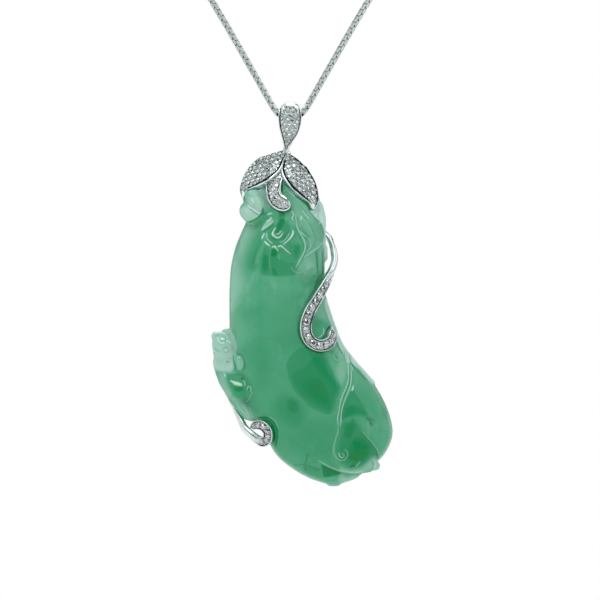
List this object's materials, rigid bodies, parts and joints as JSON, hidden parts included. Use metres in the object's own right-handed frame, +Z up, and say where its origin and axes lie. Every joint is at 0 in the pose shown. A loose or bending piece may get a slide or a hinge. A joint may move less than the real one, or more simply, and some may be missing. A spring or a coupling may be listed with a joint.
{
  "type": "carved jade pendant necklace",
  "caption": "Carved jade melon pendant with a small beast, in a white gold mount of stone-set leaves and scrolls, on a fine box chain loop.",
  "frame": {"origin": "middle of the clasp at the nape, where the necklace lies on the neck", "axes": "+Z up, -Y towards the front that the pendant faces, +X to the wearer's left"},
  "size_m": [0.1216, 0.1201, 0.186],
  "materials": {
    "jade": "polished, translucent",
    "white_gold": "polished",
    "diamond": "faceted, clear",
    "chain_metal": "polished"
  },
  "bodies": {
    "necklace": {"chain": "chain_metal", "clasp": "chain_metal", "clasp_link_left": "chain_metal", "clasp_link_right": "chain_metal"},
    "pendant": {"jade": "jade", "leaf_mount": "white_gold", "vine_scroll": "white_gold", "edge_hook": "white_gold", "bail_stones": "diamond", "left_leaf_stones": "diamond", "right_leaf_stones": "diamond", "stem_stones": "diamond", "vine_stones": "diamond", "hook_stones": "diamond"}
  },
  "joints": [
    {"name": "pendant_swing", "type": "hinge", "parent": "necklace", "child": "pendant", "pos_m": [0, -0.112, -0.12], "axis": [1, 0, 0], "range_deg": [-80, 60]}
  ]
}
